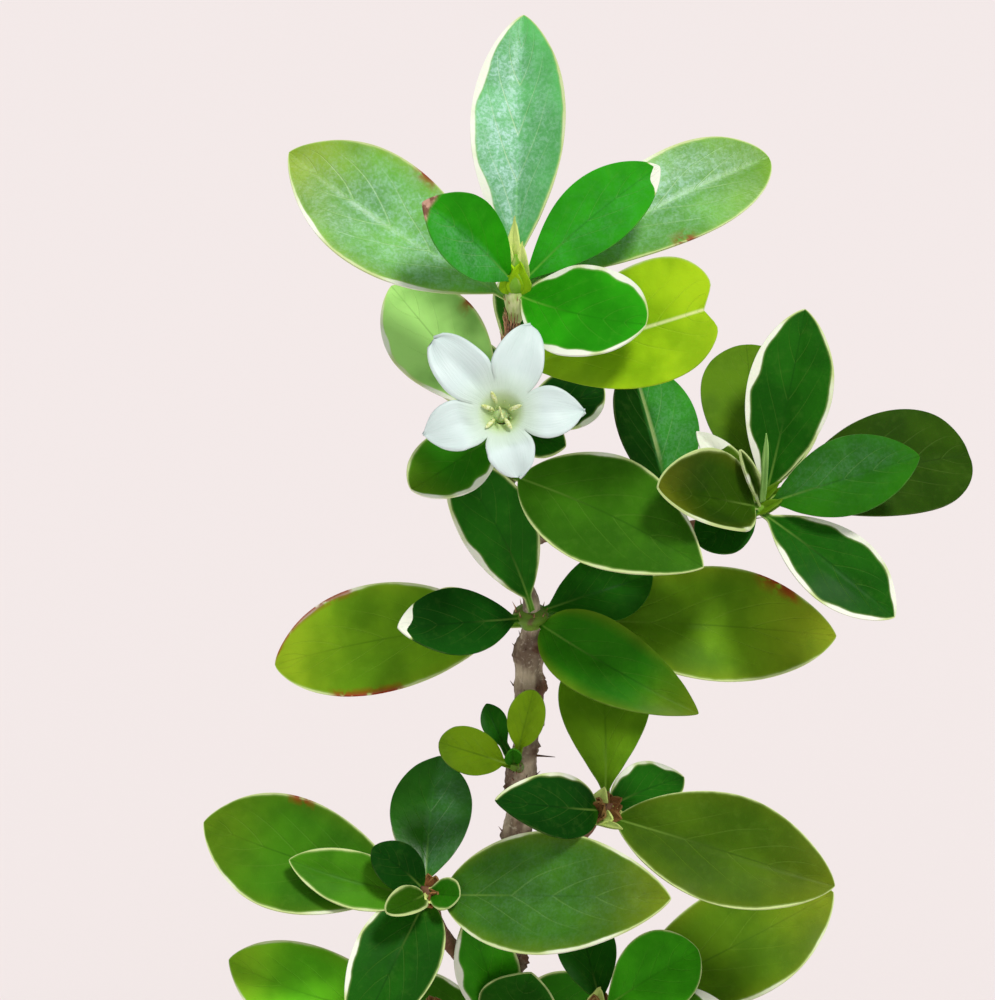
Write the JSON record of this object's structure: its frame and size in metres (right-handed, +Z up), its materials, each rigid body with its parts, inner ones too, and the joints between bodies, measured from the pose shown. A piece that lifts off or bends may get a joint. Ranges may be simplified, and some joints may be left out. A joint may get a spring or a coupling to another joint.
{
  "type": "serissa bonsai",
  "caption": "Small variegated serissa in flower, grown as an upright bonsai in a plain unglazed clay tray.",
  "frame": {"origin": "middle of the tray's footprint, on the surface that its feet stand on", "axes": "+Z up, +X to the right and -Y towards the viewer, along the tray's long and short sides"},
  "size_m": [0.088, 0.062, 0.1459],
  "materials": {
    "leaf_green": "glossy",
    "calyx_green": "satin",
    "petal_white": "matte",
    "bark": "matte",
    "soil": "matte",
    "pot_clay": "matte"
  },
  "bodies": {
    "root": {"pot": "pot_clay", "soil": "soil", "trunk": "bark", "tip_shoot": "leaf_green", "whorl_above_flower": "leaf_green", "whorl_behind_flower": "leaf_green", "whorl_below_flower": "leaf_green", "whorl_middle": "leaf_green", "young_shoot": "leaf_green", "right_shoot": "leaf_green", "right_twig_whorl": "leaf_green", "lower_right_shoot": "leaf_green", "lower_left_shoot": "leaf_green", "foot_left_shoot": "leaf_green", "foot_whorl": "leaf_green", "foot_right_shoot": "leaf_green", "back_shoot": "leaf_green", "flower_calyx": "calyx_green", "flower_corolla": "petal_white"}
  },
  "joints": []
}
